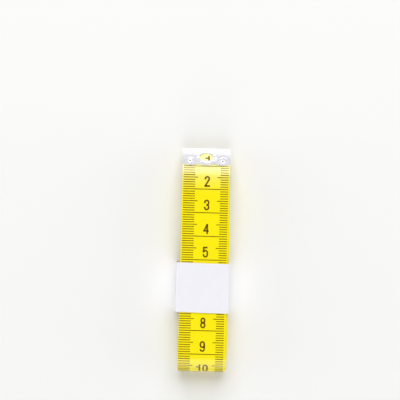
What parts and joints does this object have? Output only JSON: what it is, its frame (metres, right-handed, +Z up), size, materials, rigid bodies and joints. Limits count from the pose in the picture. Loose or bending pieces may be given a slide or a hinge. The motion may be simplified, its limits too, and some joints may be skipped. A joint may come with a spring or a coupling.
{
  "type": "cloth tape measure",
  "caption": "Cloth tape measure wound flat in loops, with a riveted metal clip on each end and a paper band round the middle; the free end lifts and the band slides off.",
  "frame": {"origin": "under the middle of the whole outline, on the surface that the band's back lies on", "axes": "+Y along the strip towards the free outer end, +X across the strip's width, +Z up out of the printed front"},
  "size_m": [0.0226, 0.0956, 0.0136],
  "materials": {
    "printed_cloth": "woven glass cloth coated with semi-gloss yellow vinyl, printed in black",
    "plated_steel": "bright nickel plate on thin folded sheet",
    "white_paper": "plain uncoated white paper"
  },
  "bodies": {
    "winding": {"tape_coil": "printed_cloth", "inner_end_clip": "plated_steel", "inner_clip_rivet_left": "plated_steel", "inner_clip_rivet_right": "plated_steel"},
    "leading_end": {"tape_leading_end": "printed_cloth", "outer_end_clip": "plated_steel", "outer_clip_rivet_left": "plated_steel", "outer_clip_rivet_right": "plated_steel"},
    "band": {"paper_band": "white_paper"}
  },
  "joints": [
    {"name": "leading_end_lift", "type": "hinge", "parent": "winding", "child": "leading_end", "pos_m": [0, -0.00068, 0.01318], "axis": [1, 0, 0], "range_deg": [0, 90]},
    {"name": "band_slide", "type": "slide", "parent": "winding", "child": "band", "axis": [0, 1, 0], "range_m": [-0.048, 0.072]}
  ]
}
